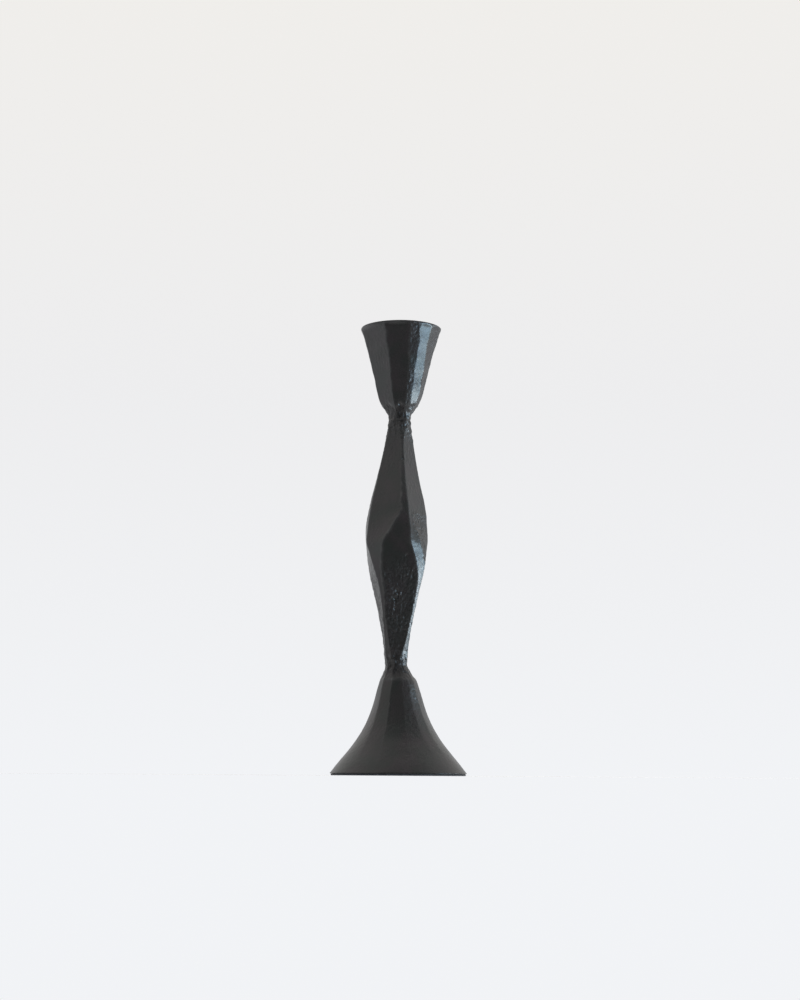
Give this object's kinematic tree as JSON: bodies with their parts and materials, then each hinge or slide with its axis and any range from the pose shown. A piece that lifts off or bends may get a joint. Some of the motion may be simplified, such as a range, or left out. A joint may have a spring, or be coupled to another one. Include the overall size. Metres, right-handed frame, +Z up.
{
  "type": "taper candle holder",
  "caption": "Free-standing taper candle holder: faceted conical cup on a swelling stem that turns from one square into another, on a flared round foot with a felt pad.",
  "frame": {"origin": "middle of the round underside, on the surface that the holder stands on", "axes": "+Z up along the candle's axis; -Y towards the side that the picture shows, with +X to the right there"},
  "size_m": [0.076, 0.076, 0.254],
  "materials": {
    "black_iron": "satin black, hammered facets with a fine casting grain",
    "fastener_steel": "zinc-plated steel",
    "felt": "matt pressed felt"
  },
  "bodies": {
    "root": {"candle_cup": "black_iron", "cup_stud": "fastener_steel", "stem": "black_iron", "foot": "black_iron", "foot_screw": "fastener_steel", "flat_washer": "fastener_steel", "spring_washer": "fastener_steel", "felt_pad": "felt"}
  },
  "joints": []
}
